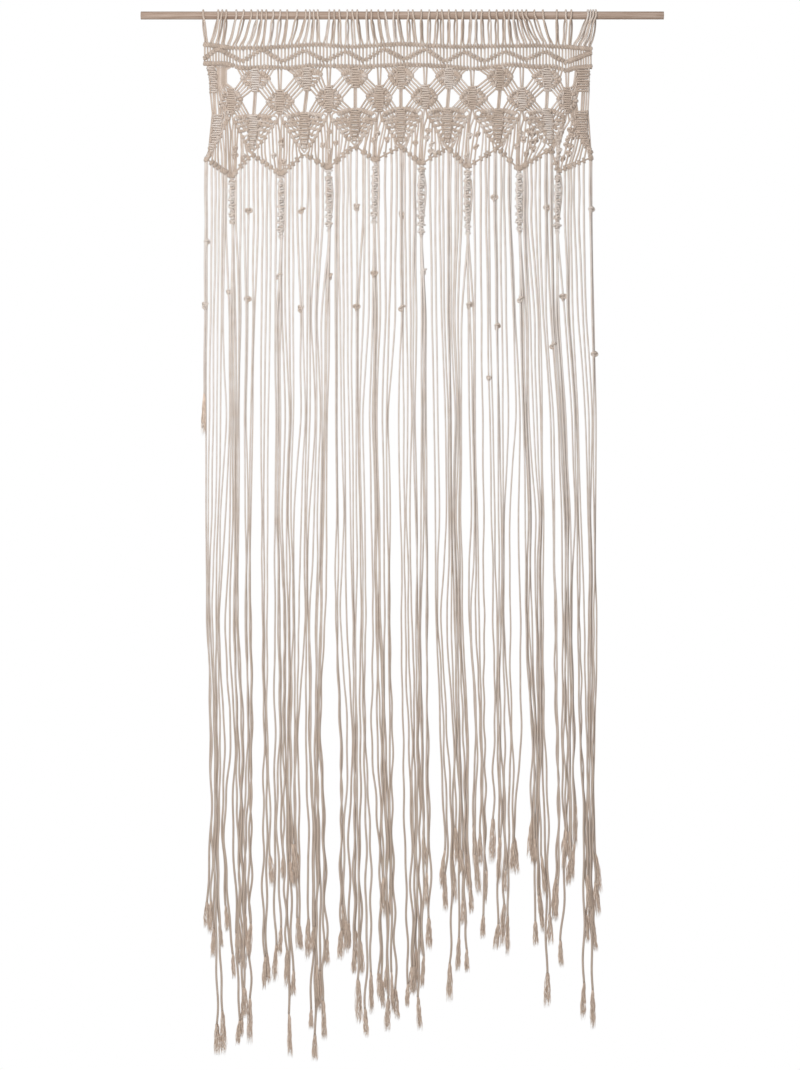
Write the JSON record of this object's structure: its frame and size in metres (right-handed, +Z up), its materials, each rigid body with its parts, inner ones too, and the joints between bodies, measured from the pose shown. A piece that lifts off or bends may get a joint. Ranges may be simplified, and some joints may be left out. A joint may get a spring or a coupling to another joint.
{
  "type": "macrame curtain with wooden rod",
  "caption": "Macrame string curtain: cord loops over a plain round wooden rod, an openwork band of knotted diamonds with a zigzag edge, and long free strings of uneven length with frayed ends.",
  "frame": {"origin": "middle of the wooden rod, on its axis", "axes": "+X along the rod, to the right as seen from the front; +Y to the back, so the face looks towards -Y; +Z up, and the curtain hangs down from the rod"},
  "size_m": [1.046, 0.026, 2.1053],
  "materials": {
    "cotton_cord": "matt twisted cotton cord, natural, undyed",
    "beech": "plain sanded beech dowel"
  },
  "bodies": {
    "root": {"rod": "beech", "heading_loops": "cotton_cord", "knotted_net": "cotton_cord", "string_fringe": "cotton_cord", "spiral_sinnet_1": "cotton_cord", "spiral_sinnet_2": "cotton_cord", "spiral_sinnet_3": "cotton_cord", "spiral_sinnet_4": "cotton_cord", "spiral_sinnet_5": "cotton_cord", "spiral_sinnet_6": "cotton_cord", "spiral_sinnet_7": "cotton_cord", "spiral_sinnet_8": "cotton_cord"}
  },
  "joints": []
}
